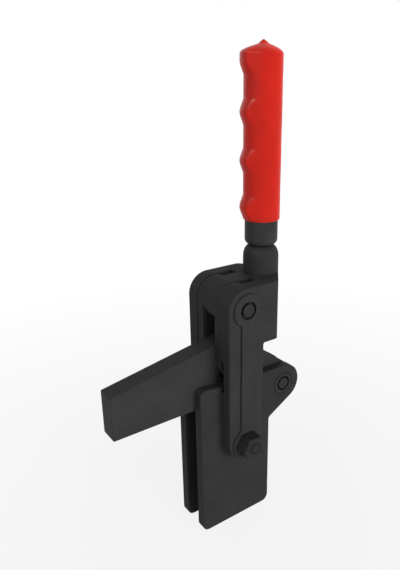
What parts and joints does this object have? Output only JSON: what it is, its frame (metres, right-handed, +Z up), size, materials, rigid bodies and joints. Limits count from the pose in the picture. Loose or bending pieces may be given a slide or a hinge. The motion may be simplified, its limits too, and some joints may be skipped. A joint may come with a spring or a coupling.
{
  "type": "weld-on vertical toggle clamp",
  "caption": "Heavy over-centre toggle clamp: two weld-on side plates, a solid tapered arm, a forged yoke on side links, and an upright lever with a ridged grip.",
  "frame": {"origin": "mid-way between the side plates, on the plane of their lower edges, straight below the yoke's top pivot, with the clamp locked shut", "axes": "+Z up from the welded edges towards the grip, +X along the clamping arm towards its tip, +Y across the clamp towards the pivot bolt's nut"},
  "size_m": [0.1704, 0.0779, 0.3864],
  "materials": {
    "plate_steel": "black oxide, satin, rolled plate with sawn and ground edges",
    "bar_steel": "black oxide, satin, machined bar",
    "forged_steel": "black oxide over a drop-forged skin, soft satin",
    "pin_steel": "blackened turned steel, slightly smoother than the plates",
    "red_grip": "dip-moulded soft vinyl, satin red"
  },
  "bodies": {
    "frame": {"near_side_plate": "plate_steel", "far_side_plate": "plate_steel", "near_ear_bush": "pin_steel", "far_ear_bush": "pin_steel", "near_plate_bush": "pin_steel", "far_plate_bush": "pin_steel", "plate_spacer": "pin_steel", "arm_pivot_pin": "pin_steel"},
    "handle": {"handle_yoke": "forged_steel", "handle_bar": "bar_steel", "grip": "red_grip", "link_pin": "pin_steel", "pivot_sleeve": "pin_steel", "pivot_bolt": "pin_steel", "pivot_nut": "pin_steel"},
    "links": {"near_link": "plate_steel", "far_link": "plate_steel", "near_link_bush": "pin_steel", "far_link_bush": "pin_steel", "toggle_pin": "pin_steel"},
    "arm": {"clamping_arm": "bar_steel", "arm_eye_bush": "pin_steel"}
  },
  "joints": [
    {"name": "handle_pivot", "type": "hinge", "parent": "frame", "child": "handle", "pos_m": [0.0006, 0, 0.0825], "axis": [0, -1, 0], "range_deg": [0, 50]},
    {"name": "link_pivot", "type": "hinge", "parent": "handle", "child": "links", "pos_m": [0, 0, 0.198], "axis": [0, -1, 0], "range_deg": [0, 65]},
    {"name": "arm_pivot", "type": "hinge", "parent": "frame", "child": "arm", "pos_m": [-0.0482, 0, 0.1144], "axis": [0, -1, 0], "range_deg": [0, 50.5]}
  ],
  "couplings": [
    {"joint": "link_pivot", "follows": "handle_pivot", "ratio": 1.295},
    {"joint": "arm_pivot", "follows": "handle_pivot", "ratio": 1}
  ]
}
